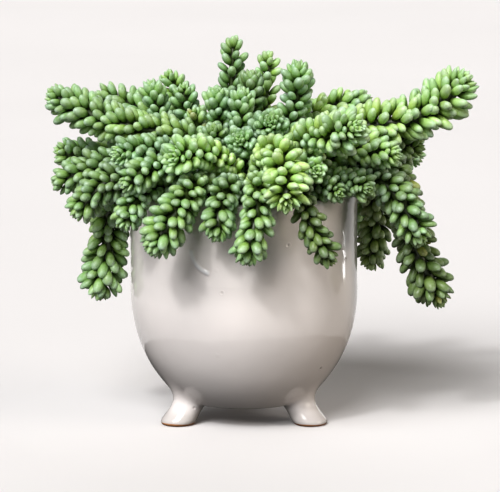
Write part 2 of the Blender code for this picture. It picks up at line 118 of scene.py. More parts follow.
# Where stems stand and how they share the room above the pot, as in the solids.
ROOT_SHARE = 0.86
ROOT_REACH = 0.058
ROOT_RISE = 0.008
ROOT_DRIFT = 1.09
LEAST_RISE_SHARE = 0.25
ROUTE_POINTS = 18
CURVE_CUTS = 24
FINE_STEP = 0.0015
BARE_ROOM = 0.0042
BARE_FADE = 0.020
LEAFY_ROOM = 0.0090
TIP_SPAN = 0.020
TIP_ROOM_SHARE = 0.75
WALL_ROOM_SHARE = 0.95
SPREAD_ROUNDS = 160
SPREAD_PUSH = 0.22
LONGEST_PUSH = 0.0015
PULL_HOME = 0.02
PULL_TIP_HOME = 0.12
EVENING = 0.3
TINY = 1e-9

# A leaf: its length on a stem of usual girth, and its outline from root to tip.
LEAF_LENGTH = 0.0101
GIRTH_WEIGHT = 0.76
LEAF_HALF_WIDTH = 0.285
UPPER_FLATTENING = 0.76
LOWER_FULLNESS = 0.92
# Leaves near a tip are petals: wider for their length, thinner and pointed.
PETAL_SPAN = 0.0105
PETAL_HALF_WIDTH = 0.33
PETAL_POINT = 1.35
PETAL_POINT_FROM = 0.5
PETAL_THINNING = 0.35
CUP_PETAL_SHARE = 0.25
STOUT_SLIMMING = 0.35
LEAF_BEND_DEG = 16
BEND_SHARES = (0.5, 1.4)
LEAF_SIDES = 8
LEAF_PROFILE = ((0.0, 0.33), (0.10, 0.55), (0.24, 0.81), (0.42, 0.97),
                (0.60, 1.0), (0.77, 0.92), (0.90, 0.68), (0.970, 0.38))
TESTED_RINGS = (3, 5, 7)
TESTED_SIDES = 4

# How leaves stand round a stem.
LEAF_STEP = 0.00080
END_GAP = 0.0005
GOLDEN_ANGLE = math.radians(137.508)
CROWDING = 1.4
OPEN_FROM = 1.2
ROOT_RADIUS = 0.0030
OPEN_ROOT_RADIUS = 0.0020
TIP_ROOT_SHARE = 0.12
SIDE_TILT_DEG = 38
STOUT_TILT_DEG = 44
TIP_TILT_DEG = 70
STEEPEST_TILT_DEG = 88
TILT_SPAN = 0.0075
TILT_EASE = 1.4
GROWTH_SPAN = 0.0078
GROWTH_EASE = 0.7
SMALLEST = 0.32
FIRST_LEAF_SHARE = 0.8
ROSETTE_LENGTHENING = 1.16
SIZE_SPREAD = 0.12
TILT_SPREAD_DEG = 17
TURN_SPREAD_DEG = 10
ROLL_SPREAD_DEG = 14

# Where a leaf crowds another stem or the pot it tries these sizes and further tilts in turn, or isn't grown.
LEAF_FITS = ((1.0, 0), (0.97, 12), (0.90, 4), (0.88, 18), (0.80, 8),
             (0.76, 24), (0.70, 10), (0.62, 20), (0.52, 10))
LEAF_OVERLAP = 0.0005
WALL_GAP = 0.0006
SOIL_GAP = 0.0006

# The stem inside its leaves, which goes down into the potting mix.
STEM_SIDES = 10
STEM_STEP = 0.003
LEAST_STEM_RINGS = 8
SUNK_DEPTH = 0.006
LEAFY_FROM = 0.6
STEM_TIP_SHARE = 0.25
BARE_RADIUS = 0.0021
CORE_RADIUS = 0.0031
OPEN_CORE_RADIUS = 0.0022

# Each stem above the soil, as in the solids: its girth against the usual one, its length without leaves,
# then the points it passes up to its tip. Lengths and points are in millimetres.
STEMS = {
    "stem_left_long": (1.2, 20, [(-34, -12, 184), (-64, -13, 194), (-94, -11, 202), (-127, -7, 219)]),
    "stem_left_under": (1.1, 20, [(-52, 20, 164), (-78, 22, 172), (-102, 22, 173), (-125, 20, 178)]),
    "stem_left_reach": (1.1, 20, [(-50, -12, 166), (-76, -16, 173), (-100, -18, 170), (-124, -16, 161)]),
    "stem_left_low": (1.15, 20, [(-50, -30, 160), (-78, -34, 166), (-97, -37, 158), (-109, -36, 143)]),
    "stem_left_hanging": (1.3, 20, [(-52, 3, 156), (-74, 3, 166), (-88, 0, 150), (-91, -2, 118),
                                    (-96, -2, 84)]),
    "stem_left_rosette": (1.1, 20, [(-40, -28, 178), (-60, -42, 185), (-82, -58, 185)]),
    "stem_left_front": (1.1, 20, [(-40, -38, 166), (-58, -56, 171), (-76, -74, 168)]),
    "stem_left_corner": (1.0, 20, [(-50, -44, 156), (-66, -62, 161), (-77, -72, 141)]),
    "stem_front_left": (1.2, 20, [(-24, -50, 160), (-32, -72, 165), (-44, -92, 150), (-57, -97, 129)]),
    "stem_front_pale": (1.2, 26, [(-2, -34, 174), (-16, -48, 182), (-30, -64, 183), (-44, -80, 187)]),
    "stem_back_left": (1.25, 20, [(-42, 38, 182), (-66, 47, 198), (-84, 53, 206), (-99, 56, 211)]),
    "stem_crown_left": (1.0, 34, [(-46, 14, 178), (-56, 15, 200), (-62, 13, 223)]),
    "stem_crown_mid_left": (1.0, 34, [(-32, 16, 178), (-38, 18, 200), (-41, 17, 221)]),
    "stem_back_pale": (1.1, 42, [(-28, 42, 180), (-42, 48, 205), (-52, 50, 226)]),
    "stem_crown_yellow": (0.85, 36, [(-22, 2, 176), (-29, 1, 194), (-34, 0, 209)]),
    "stem_crown_tall": (1.0, 34, [(-10, 22, 180), (-9, 25, 205), (-8, 27, 230), (-7, 28, 253)]),
    "stem_crown_second": (0.95, 48, [(10, 24, 180), (14, 26, 205), (15, 26, 225), (16, 25, 243)]),
    "stem_crown_right": (1.1, 34, [(28, 4, 178), (34, 3, 200), (36, 2, 218), (36, -1, 237)]),
    "stem_crown_dark": (0.95, 48, [(2, 8, 185), (4, 9, 208), (5, 7, 230)]),
    "stem_crown_front": (1.0, 34, [(-2, -8, 180), (-2, -10, 200), (-1, -13, 220)]),
    "stem_crown_side": (0.95, 34, [(-15, 0, 180), (-18, -1, 200), (-19, -4, 220)]),
    "stem_crown_rosette": (1.15, 30, [(12, -16, 180), (16, -28, 195), (17, -46, 206)]),
    "stem_centre_rosette": (1.0, 30, [(2, -20, 172), (0, -34, 187), (-3, -50, 195)]),
    "stem_centre_small": (0.9, 30, [(-14, -14, 170), (-18, -20, 186), (-20, -28, 198)]),
    "stem_front_main": (1.35, 20, [(14, -38, 176), (20, -58, 186), (25, -78, 182), (27, -94, 172),
                                   (27, -106, 161)]),
    "stem_front_short": (1.05, 20, [(-8, -52, 158), (-11, -74, 165), (-15, -90, 153), (-17, -96, 138)]),
    "stem_front_drop": (1.05, 20, [(6, -56, 160), (8, -78, 166), (8, -96, 152), (5, -102, 138),
                                   (1, -103, 124)]),
    "stem_front_shade": (1.0, 20, [(26, -54, 158), (35, -76, 163), (41, -90, 147), (48, -92, 133),
                                   (55, -90, 121)]),
    "stem_front_bud": (0.95, 20, [(36, -40, 165), (42, -58, 174), (46, -75, 177)]),
    "stem_right_bud": (0.9, 20, [(46, -42, 158), (55, -54, 163), (61, -66, 161)]),
    "stem_right_rosette": (1.35, 20, [(28, -26, 182), (42, -46, 191), (56, -66, 198), (71, -86, 206)]),
    "stem_right_front": (1.0, 20, [(50, -36, 160), (66, -50, 166), (79, -66, 164)]),
    "stem_right_side": (1.1, 20, [(60, -22, 172), (80, -32, 181), (99, -44, 183)]),
    "stem_right_long": (1.5, 20, [(44, -4, 182), (66, -6, 193), (88, -7, 197), (108, -7, 201), (128, -7, 211),
                                  (146, -7, 230)]),
    "stem_right_under": (1.1, 20, [(58, 6, 166), (80, 8, 176), (100, 6, 182), (117, 3, 182)]),
    "stem_right_fall": (1.2, 20, [(56, -20, 160), (77, -29, 169), (94, -40, 162), (106, -47, 146),
                                  (115, -50, 128)]),
    "stem_right_hanging": (1.3, 20, [(60, -4, 164), (84, -8, 174), (100, -14, 163), (108, -20, 140),
                                     (116, -24, 112), (130, -24, 83)]),
    "stem_right_back": (1.1, 20, [(56, 18, 156), (78, 24, 163), (90, 28, 142), (89, 29, 118), (86, 29, 98)]),
    "stem_right_pale": (1.2, 20, [(28, 22, 180), (46, 29, 196), (64, 33, 204), (84, 34, 208)]),
    "stem_back_1": (1.2, 20, [(48, 36, 158), (68, 48, 165), (83, 59, 146), (85, 64, 116)]),
    "stem_back_2": (1.2, 20, [(28, 52, 158), (39, 72, 166), (48, 90, 150), (52, 97, 122)]),
    "stem_back_3": (1.2, 20, [(4, 58, 158), (5, 80, 166), (6, 99, 146), (8, 103, 112)]),
    "stem_back_4": (1.2, 20, [(-20, 56, 158), (-28, 76, 166), (-36, 94, 150), (-40, 100, 126)]),
    "stem_back_5": (1.2, 20, [(-42, 42, 158), (-58, 60, 166), (-70, 76, 150), (-74, 80, 116)]),
    "stem_back_6": (1.2, 20, [(22, 40, 176), (38, 58, 192), (56, 76, 194), (72, 92, 186)]),
    "stem_back_7": (1.2, 20, [(2, 44, 180), (2, 62, 196), (0, 82, 202), (-4, 104, 200)]),
    "stem_back_8": (1.2, 20, [(-22, 62, 172), (-34, 78, 184), (-50, 94, 186), (-66, 106, 178)]),
    "stem_back_9": (1.15, 20, [(-8, 60, 158), (-13, 80, 166), (-17, 99, 150), (-18, 104, 126)]),
    "stem_back_10": (1.15, 20, [(40, 44, 158), (56, 62, 166), (69, 77, 152), (73, 83, 128)]),
    "stem_back_right": (1.2, 20, [(56, 34, 172), (78, 46, 182), (100, 54, 180), (118, 58, 166)]),
    "stem_back_side": (1.15, 20, [(-54, 28, 160), (-76, 38, 170), (-96, 46, 160), (-106, 50, 140)]),
}

# Stems whose leaves stand further apart, so that the stem shows, or closer: how much further.
OPEN_STEMS = {
    "stem_right_long": 0.82,
    "stem_front_main": 0.90,
    "stem_crown_tall": 1.9,
    "stem_crown_second": 1.7,
    "stem_crown_left": 1.4,
    "stem_crown_mid_left": 1.5,
    "stem_back_pale": 1.3,
    "stem_crown_yellow": 2.1,
    "stem_crown_right": 1.4,
    "stem_crown_dark": 1.5,
    "stem_crown_front": 1.35,
    "stem_crown_side": 1.35,
    "stem_front_shade": 1.3,
    "stem_front_drop": 1.2,
    "stem_right_hanging": 1.15,
}

# Stems that end in a full open rosette, against a usual tip: over how much more of the stem its petals grow,
# and over how much more they stand up.
ROSETTES = {
    "stem_crown_rosette": (2.2, 2.2),
    "stem_crown_right": (1.25, 2.3),
    "stem_crown_left": (1.1, 1.8),
    "stem_crown_dark": (1.1, 1.8),
    "stem_crown_front": (1.2, 1.8),
    "stem_crown_side": (1.1, 1.8),
    "stem_centre_rosette": (1.7, 1.7),
    "stem_left_rosette": (1.8, 1.6),
    "stem_left_long": (1.8, 1.4),
    "stem_left_hanging": (1.3, 1.2),
    "stem_front_main": (0.9, 0.6),
    "stem_front_pale": (1.0, 0.9),
    "stem_front_left": (1.5, 1.3),
    "stem_front_short": (1.3, 1.2),
    "stem_front_drop": (1.3, 1.2),
    "stem_right_rosette": (1.4, 1.2),
    "stem_right_long": (1.6, 1.7),
    "stem_right_hanging": (1.8, 1.5),
}
# Stems that end in a cup of a few large leaves: the smallest leaf's size against a full one.
CUPS = {"stem_crown_tall": 0.72, "stem_crown_second": 0.68, "stem_crown_yellow": 0.6}

# Leaf colours: older leaves, then younger ones near a tip, then how much pale bloom they have. Beside each
# stem's own green,
# the tones hold painted light and shade: dusky, deep and shaded are darker, partly their own deeper green and
# partly painted shade for stems that stand in shade, and blue's older leaves are darker partly as painted
# shade deep in the crown;
# bright, turning, misty and pale are lighter, partly their own paler green and partly painted light for stems
# in light.
TONES = {
    "fresh": ((0.55, 0.69, 0.25), (0.52, 0.68, 0.35), 1.0),
    "pale": ((0.71, 0.82, 0.35), (0.61, 0.77, 0.45), 1.0),
    "turning": ((0.87, 0.97, 0.44), (0.61, 0.79, 0.47), 1.0),
    "bright": ((0.68, 0.80, 0.38), (0.76, 0.89, 0.57), 0.9),
    "misty": ((0.69, 0.81, 0.39), (0.65, 0.80, 0.51), 1.0),
    "dusky": ((0.38, 0.48, 0.17), (0.50, 0.65, 0.33), 0.9),
    "deep": ((0.41, 0.53, 0.17), (0.43, 0.57, 0.23), 0.85),
    "shaded": ((0.38, 0.46, 0.14), (0.40, 0.50, 0.18), 0.65),
    "blue": ((0.36, 0.50, 0.20), (0.53, 0.70, 0.40), 0.96),
}
# The stems of each colour. The others are fresh.
TONE_STEMS = {
    "turning": ("stem_front_pale",),
    "bright": ("stem_front_main",),
    "pale": ("stem_crown_yellow", "stem_crown_second", "stem_front_bud", "stem_right_pale", "stem_back_pale"),
    "misty": ("stem_right_long", "stem_right_side", "stem_right_rosette"),
    "deep": ("stem_right_front", "stem_right_bud", "stem_crown_dark", "stem_centre_small"),
    "shaded": ("stem_front_shade", "stem_right_back", "stem_right_hanging", "stem_right_under"),
    "dusky": ("stem_front_short", "stem_left_low", "stem_left_reach", "stem_right_fall"),
    "blue": ("stem_crown_tall", "stem_crown_front", "stem_crown_side", "stem_crown_left",
             "stem_crown_mid_left", "stem_crown_right", "stem_crown_rosette", "stem_centre_rosette",
             "stem_left_rosette"),
}
STEM_TONES = {stem: tone for tone, stems in TONE_STEMS.items() for stem in stems}
# Young leaves in the heart of a tip, and the few old ones that turn olive.
HEART = (0.64, 0.76, 0.38)
HEART_SHARE = 0.4
HEART_SPAN = 0.007
OLIVE = (0.64, 0.66, 0.27)
OLIVE_SHARES = {"stem_crown_yellow": 0.10, "stem_right_hanging": 0.10, "stem_right_pale": 0.03}
YOUNG_SPAN = 0.075
# How leaves of one stem differ, and how a leaf's root is darker and warmer than its tip: the darkening is
# painted shade for the gaps between the leaves, and the warmth is partly the root's own yellower green and
# partly the colour of that shade.
WARMTH_SPREAD = 0.24
GREEN_WARMTH = 0.3
DARKEST = 0.80
BRIGHTNESS_SPREAD = 0.40
ROOT_PAINTED_SHADE = (0.07, 0.17, 0.44, 0.80, 1.0)
ROOT_WARMTH = (0.95, 1.04, 0.16)
WARMTH_CHANGE = (0.05, -0.04, 0.86)
# The stem's colours: where leafy, a dark green that is painted shade for the gaps between the leaves; brown
# where bare.
STEM_PAINTED_SHADE = (0.20, 0.26, 0.09)
STEM_BROWN = (0.34, 0.29, 0.19)

# The other finishes' colours. A pair is the two ends of a slow change.
BLOOM = (0.81, 0.89, 0.86)
GLAZE = ((0.955, 0.925, 0.912), (0.938, 0.910, 0.898))
# The glaze's colour towards the bottom of the feet, where it darkens.
GLAZE_DARKER_BELOW = (0.77, 0.745, 0.73)
# Thick glaze is whiter, partly as its own colour and partly as a painted highlight.
THICK_GLAZE_AND_HIGHLIGHT = (0.985, 0.98, 0.99)
PIT = (0.70, 0.64, 0.62)
SPECK = (0.30, 0.25, 0.22)
CLAY = ((0.66, 0.42, 0.26), (0.80, 0.58, 0.40))
SOIL = ((0.13, 0.10, 0.08), (0.30, 0.24, 0.19))
GRIT = (0.55, 0.48, 0.40)
FLOOR = ((0.895, 0.883, 0.881), (0.905, 0.893, 0.891))
DAYLIGHT = (1.0, 0.97, 0.93, 1)
WARM_LIGHT = (1.0, 0.90, 0.78)

# Most of a noise's values lie between these.
NOISE_RANGE = (0.3, 0.7)


def linear(colour):
    """Screen colour shares as the linear ones that shaders use."""
    colour = np.asarray(colour, float)
    return np.where(colour <= 0.04045, colour / 12.92, ((colour + 0.055) / 1.055) ** 2.4)


def unit(rows):
    return rows / np.maximum(np.linalg.norm(rows, axis=-1, keepdims=True), TINY)


def full_turn(count):
    return 2 * math.pi * np.arange(count) / count


def turned_points(profile, turns):
    """Points of a turned form, ring by ring."""
    return np.array([[(r * math.cos(t), r * math.sin(t), z) for t in turns] for r, z in profile])


def grid_faces(rings, segments, first=0):
    """Quads between rings that go all the way round."""
    faces = []
    for ring in range(rings - 1):
        for k in range(segments):
            j = (k + 1) % segments
            low, high = first + ring * segments, first + (ring + 1) * segments
            faces.append((low + k, low + j, high + j, high + k))
    return faces


def placed_object(name, data):
    made = bpy.data.objects.new(name, data)
    bpy.context.scene.collection.objects.link(made)
    return made


def mesh_object(name, points, faces, finish):
    mesh = bpy.data.meshes.new(name)
    mesh.from_pydata(points.tolist(), [], faces)
    mesh.materials.append(finish)
    return placed_object(name, mesh)


def mesh_piece(name, points, faces, finish):
    """A smooth piece from points round the pot's axis, put in its place and riding on the one body."""
    piece = mesh_object(name, points + np.array(POT_CENTRE), faces, finish)
    piece.data.shade_smooth()
    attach(piece, "root")
    return piece


# Stem routes, worked out as in the solids.


def smooth_curve(points, count):
    """A Catmull-Rom curve through points, as count points evenly spaced along it."""
    points = np.asarray(points, float)
    ends = np.vstack([2 * points[0] - points[1], points, 2 * points[-1] - points[-2]])
    dense = []
    for i in range(1, len(ends) - 2):
        a, b, c, d = ends[i - 1 : i + 3]
        for t in np.linspace(0, 1, CURVE_CUTS, endpoint=False):
            cubic = 3 * b - a - 3 * c + d
            dense.append(0.5 * (2 * b + (c - a) * t + (2 * a - 5 * b + 4 * c - d) * t * t + cubic * t ** 3))
    dense.append(ends[-2])
    dense = np.array(dense)
    along = np.concatenate([[0], np.cumsum(np.linalg.norm(np.diff(dense, axis=0), axis=1))])
    marks = np.linspace(0, along[-1], count)
    return np.column_stack([np.interp(marks, along, dense[:, axis]) for axis in range(3)])


def first_routes():
    """Each stem's chosen points, started upright from the potting mix, as evenly spaced points."""
    routes = []
    for _, _, points in STEMS.values():
        points = np.array(points, float) * MM
        x, y = points[0, :2] * ROOT_SHARE * min(1, ROOT_REACH / (ROOT_SHARE * math.hypot(*points[0, :2])))
        rise = [(x, y, SOIL_TOP - SOIL_CROWN), (x, y, SOIL_TOP + ROOT_RISE)]
        routes.append(smooth_curve(np.vstack([rise, points]), ROUTE_POINTS))
    return np.array(routes)


def wall_distance(points):
    """How far points lie from the pot's upper wall, which is a ring with a rounded rim."""
    radial = np.linalg.norm(points[..., :2], axis=-1)
    above = np.maximum(0, points[..., 2] - (POT_HEIGHT - POT_WALL / 2))
    return np.hypot(radial - (POT_RADIUS - POT_WALL / 2), above) - POT_WALL / 2


def pushed_from_wall(points, room):
    """The points, with those that crowd the pot's wall or rim moved straight away from it."""
    radial = np.linalg.norm(points[..., :2], axis=-1, keepdims=True)
    outward = points[..., :2] / np.maximum(radial, TINY)
    above = np.maximum(0, points[..., 2:] - (POT_HEIGHT - POT_WALL / 2))
    away = unit(np.concatenate([outward * (radial - (POT_RADIUS - POT_WALL / 2)), above], axis=-1))
    return points + away * np.maximum(0, room - wall_distance(points))[..., None]


def kept_in_bounds(points, room):
    """The points kept off the pot's wall and above the potting mix, with each first point on it."""
    points = pushed_from_wall(points, WALL_ROOM_SHARE * room)
    over_soil = np.linalg.norm(points[..., :2], axis=-1) < POT_RADIUS
    risen = np.maximum(points[..., 2], SOIL_TOP + LEAST_RISE_SHARE * ROOT_RISE)
    points[..., 2] = np.where(over_soil, risen, points[..., 2])
    reach = np.linalg.norm(points[:, 0, :2], axis=1, keepdims=True)
    points[:, 0, :2] *= np.minimum(1, ROOT_DRIFT * ROOT_REACH / reach)
    points[:, 0, 2] = SOIL_TOP - SOIL_CROWN
    return points


def room_along(routes):
    """How far each route point wants to be from what is round it, and its nearness to its tip, up to 1."""
    girth = np.array([girth for girth, _, _ in STEMS.values()])[:, None]
    bare = np.array([bare for _, bare, _ in STEMS.values()])[:, None] * MM
    length = np.linalg.norm(np.diff(routes, axis=1), axis=2).sum(axis=1)[:, None]
    along = np.linspace(0, 1, ROUTE_POINTS)[None] * length
    leafy = np.clip((along - 0.5 * bare) / BARE_FADE, 0, 1)
    from_tip = np.clip((length - along) / TIP_SPAN, 0, 1)
    full = LEAFY_ROOM * girth * (TIP_ROOM_SHARE + (1 - TIP_ROOM_SHARE) * from_tip)
    return BARE_ROOM + (full - BARE_ROOM) * leafy, 1 - from_tip


def spread_routes():
    """Moves the stems apart, a little at a time, until their leaves have room. Their tips are nearly held."""
    home = first_routes()
    room, near_tip = room_along(home)
    owner = np.repeat(np.arange(len(home)), ROUTE_POINTS)
    others = owner[:, None] != owner[None]
    wanted = room.reshape(-1)[:, None] + room.reshape(-1)[None]
    hold = PULL_HOME + (PULL_TIP_HOME - PULL_HOME) * near_tip
    moved = np.zeros_like(home)
    for _ in range(SPREAD_ROUNDS):
        now = (home + moved).reshape(-1, 3)
        square = (now * now).sum(axis=1)
        distance = np.sqrt(np.maximum(square[:, None] + square[None] - 2 * now @ now.T, TINY * TINY))
        weight = np.where(others, np.maximum(0, wanted / distance - 1), 0)
        push = SPREAD_PUSH * (now * weight.sum(axis=1)[:, None] - weight @ now)
        size = np.linalg.norm(push, axis=1, keepdims=True)
        push *= np.minimum(1, LONGEST_PUSH / np.maximum(size, TINY))
        moved += push.reshape(moved.shape)
        moved -= moved * hold[..., None]
        moved[:, 1:-1] += EVENING * (0.5 * (moved[:, :-2] + moved[:, 2:]) - moved[:, 1:-1])
        moved[:, 1, :2] = 0.5 * (moved[:, 0, :2] + moved[:, 1, :2])
        moved = kept_in_bounds(home + moved, room) - home
    return home + moved


class Route:
    """One stem's centreline above the soil, with a frame that travels along it without twisting."""

    def __init__(self, name, points):
        self.name = name
        self.girth, bare, _ = STEMS[name]
        self.bare = bare * MM
        self.openness = OPEN_STEMS.get(name, 1.0)
        self.is_open = self.openness > OPEN_FROM
        self.smallest = CUPS.get(name, SMALLEST)
        growing, standing = ROSETTES.get(name, (1.0, 1.0))
        self.growth_span = GROWTH_SPAN * self.girth * growing
        self.tilt_span = TILT_SPAN * self.girth * standing
        self.slim = 1 - STOUT_SLIMMING * (self.girth - 1)
        self.length = float(np.linalg.norm(np.diff(points, axis=0), axis=1).sum())
        self.end = self.length - END_GAP - (self.smallest - SMALLEST) * LEAF_LENGTH
        self.points = smooth_curve(points, int(self.length / FINE_STEP) + 2)
        self.tangents = unit(np.gradient(self.points, axis=0))
        normal = np.array([1.0, 0, 0])
        normals = []
        for tangent in self.tangents:
            normal = normal - tangent * (normal @ tangent)
            normal /= np.linalg.norm(normal)
            normals.append(normal)
        self.normals = np.array(normals)

    def at(self, along):
        """The points at distances along the stem, with their tangents and two directions across it."""
        place = np.clip(along / self.length, 0, 1) * (len(self.points) - 1)
        low = np.minimum(place.astype(int), len(self.points) - 2)
        share = (place - low)[:, None]
        point, tangent, normal = (rows[low] * (1 - share) + rows[low + 1] * share
                                  for rows in (self.points, self.tangents, self.normals))
        tangent = unit(tangent)
        normal = unit(normal - tangent * (normal * tangent).sum(axis=1, keepdims=True))
        return point, tangent, normal, np.cross(tangent, normal)


# Leaves.


def growth(route, left):
    """A leaf's size against a full one, by how far it stands from the stem's tip."""
    share = np.clip(left / route.growth_span, 0, 1)
    return route.smallest + (1 - route.smallest) * share ** GROWTH_EASE


def leaf_stations(route, random):
    """Each leaf's distance along the stem and its turn round it, closer together towards the tip."""
    size = 1 + GIRTH_WEIGHT * (route.girth - 1)
    step = LEAF_STEP * size * size / route.girth * route.slim
    along = FIRST_LEAF_SHARE * route.bare
    turn = random.uniform(0, 2 * math.pi)
    stations = []
    while along < route.end:
        stations.append((along, turn))
        left = route.end - along
        in_head = route.name in ROSETTES and left < route.tilt_span
        along += step * growth(route, left) ** CROWDING * (1 if in_head else route.openness)
        turn += GOLDEN_ANGLE + math.radians(TURN_SPREAD_DEG) * random.uniform(-1, 1)
    return np.array(stations).T


class Leaves:
    """All the leaves of one stem, as arrays with a row for each leaf."""

    def __init__(self, route, random):
        along, turn = leaf_stations(route, random)
        count = len(along)
        left = route.end - along
        grown = growth(route, left)
        self.route = route
        self.left = left
        self.petal = 1 - np.clip(left / (PETAL_SPAN * route.girth), 0, 1)
        if route.name in CUPS:
            self.petal *= CUP_PETAL_SHARE
        centre, tangent, normal, side = route.at(along)
        out = np.cos(turn)[:, None] * normal + np.sin(turn)[:, None] * side
        root = OPEN_ROOT_RADIUS if route.is_open else ROOT_RADIUS
        root_radius = root * route.girth * np.minimum(1, TIP_ROOT_SHARE + left / GROWTH_SPAN)
        self.root = centre + out * root_radius[:, None]
        self.out, self.tangent = out, tangent
        jitter = 1 + SIZE_SPREAD * random.uniform(-1, 1, count)
        self.length = LEAF_LENGTH * (1 + GIRTH_WEIGHT * (route.girth - 1)) * grown * jitter
        if route.name in ROSETTES:
            self.length *= 1 + (ROSETTE_LENGTHENING - 1) * np.clip(2 - left / route.growth_span, 0, 1)
        near_tip = (1 - np.clip(left / route.tilt_span, 0, 1)) ** TILT_EASE
        side_tilt = SIDE_TILT_DEG - STOUT_TILT_DEG * (route.girth - 1)
        tilt = side_tilt + (TIP_TILT_DEG - side_tilt) * near_tip
        self.tilt = np.radians(tilt + TILT_SPREAD_DEG * random.uniform(-1, 1, count) * (1 - near_tip))
        self.roll = np.radians(ROLL_SPREAD_DEG * random.uniform(-1, 1, count))
        self.bend = np.radians(LEAF_BEND_DEG * random.uniform(*BEND_SHARES, count))
        self.chance = random.uniform(0, 1, (count, 3))

    def points(self, rows, scale, more_tilt, rings=range(len(LEAF_PROFILE)), sides=LEAF_SIDES):
        """The points of some leaves: for each leaf, its rings' points in turn, then its tip."""
        steepest = math.radians(STEEPEST_TILT_DEG)
        tilt = np.minimum(self.tilt[rows] + math.radians(more_tilt), steepest)[:, None]
        ahead = np.cos(tilt) * self.out[rows] + np.sin(tilt) * self.tangent[rows]
        across = np.cross(self.tangent[rows], self.out[rows])
        upward = np.cross(ahead, across)
        roll = self.roll[rows][:, None]
        rolled = np.cos(roll) * across + np.sin(roll) * upward
        upward = np.cos(roll) * upward - np.sin(roll) * across
        length = (self.length[rows] * scale)[:, None]
        petal = self.petal[rows][:, None]
        half = LEAF_HALF_WIDTH + (PETAL_HALF_WIDTH - LEAF_HALF_WIDTH) * petal
        half = half * self.length[rows][:, None] * self.route.slim * math.sqrt(scale)
        bend = self.bend[rows][:, None]
        made = []
        for ring in rings:
            share, width = LEAF_PROFILE[ring]
            width = width * (1 - PETAL_POINT * petal * max(0, share - PETAL_POINT_FROM))
            centre = self.axis(rows, ahead, upward, length, bend, share)
            tipped = np.cos(bend * share) * upward - np.sin(bend * share) * ahead
            for k in range(sides):
                angle = 2 * math.pi * k / sides
                lift = math.sin(angle) * (UPPER_FLATTENING if math.sin(angle) > 0 else LOWER_FULLNESS)
                lift = lift * (1 - PETAL_THINNING * petal)
                made.append(centre + half * width * (math.cos(angle) * rolled + lift * tipped))
        made.append(self.axis(rows, ahead, upward, length, bend, 1.0))
        return np.stack(made, axis=1)

    def axis(self, rows, ahead, upward, length, bend, share):
        """The middle of a leaf at a share of its length, as the leaf bends up towards the stem's tip."""
        forward = np.sin(bend * share) / bend
        rise = (1 - np.cos(bend * share)) / bend
        return self.root[rows] + length * (forward * ahead + rise * upward)


def distance_to(points, marks):
    """The distance from each point to the nearest mark."""
    square = (points * points).sum(axis=-1)[..., None] + (marks * marks).sum(axis=1) - 2 * points @ marks.T
    return np.sqrt(np.maximum(square.min(axis=-1), 0))


def fitted(leaves, others):
    """Each leaf's points at the first size and tilt that keep it clear of other stems, pot and soil."""
    waiting = np.arange(len(leaves.length))
    rows, placed = [], []
    for scale, more_tilt in LEAF_FITS:
        tested = leaves.points(waiting, scale, more_tilt, TESTED_RINGS, TESTED_SIDES)
        crowded = distance_to(tested, leaves.route.points) - distance_to(tested, others) > LEAF_OVERLAP
        inside = np.linalg.norm(tested[..., :2], axis=-1) < POT_RADIUS
        blocked = (wall_distance(tested) < WALL_GAP) | (inside & (tested[..., 2] < SOIL_TOP + SOIL_GAP))
        good = ~(crowded | blocked).any(axis=1)
        rows.append(waiting[good])
        placed.append(leaves.points(waiting[good], scale, more_tilt))
        waiting = waiting[~good]
        if not len(waiting):
            break
    return np.concatenate(rows), np.concatenate(placed)


def leaf_faces(count):
    """The faces of count leaves whose points follow one another, as quads and then triangles."""
    rings = len(LEAF_PROFILE)
    quads, triangles = [], []
    for ring in range(rings - 1):
        for k in range(LEAF_SIDES):
            j = (k + 1) % LEAF_SIDES
            low, high = ring * LEAF_SIDES, (ring + 1) * LEAF_SIDES
            quads.append((low + k, high + k, high + j, low + j))
    last, tip = (rings - 1) * LEAF_SIDES, rings * LEAF_SIDES
    for k in range(LEAF_SIDES):
        triangles.append((last + k, tip, last + (k + 1) % LEAF_SIDES))
    starts = np.arange(count)[:, None, None] * (tip + 1)
    quads = (np.array(quads)[None] + starts).reshape(-1, 4)
    triangles = (np.array(triangles)[None] + starts).reshape(-1, 3)
    return quads, triangles


def leaf_colours(leaves, rows):
    """Each leaf's colour, from root to tip, with painted shade towards its root, and its share of the way to
    the tip as alpha.
    """
    tone = STEM_TONES.get(leaves.route.name, "fresh")
    older, younger = (linear(colour) for colour in TONES[tone][:2])
    bloom = TONES[tone][2]
    share = np.clip(1 - leaves.left[rows] / YOUNG_SPAN, 0, 1)[:, None]
    chance = leaves.chance[rows]
    colour = older + (younger - older) * share
    warm = (chance[:, :1] - 0.5) * WARMTH_SPREAD
    colour = colour * (1 + np.concatenate([warm, GREEN_WARMTH * warm, -warm], axis=1))
    colour = colour * (DARKEST + BRIGHTNESS_SPREAD * chance[:, 1:2])
    heart = np.clip(1 - leaves.left[rows] / (HEART_SPAN * leaves.route.girth), 0, 1)[:, None]
    colour = colour + (linear(HEART) - colour) * HEART_SHARE * heart
    colour = np.where(chance[:, 2:] < OLIVE_SHARES.get(leaves.route.name, 0), linear(OLIVE), colour)
    along = np.array([[share] * LEAF_SIDES for share, _ in LEAF_PROFILE]).reshape(-1)
    along = np.append(along, 1.0)
    warmth_and_painted_shade = np.array(ROOT_WARMTH) + np.array(WARMTH_CHANGE) * along[:, None]
    # Painted shade: each leaf darkens towards its root, where the gaps between the leaves are.
    shaded = [share for share, _ in LEAF_PROFILE[:len(ROOT_PAINTED_SHADE)]]
    warmth_and_painted_shade *= np.interp(along, shaded, ROOT_PAINTED_SHADE)[:, None]
    painted = colour[:, None] * warmth_and_painted_shade[None]
    alpha = np.broadcast_to(bloom * along[None, :, None], (len(rows), len(along), 1))
    return np.concatenate([painted, alpha], axis=2)


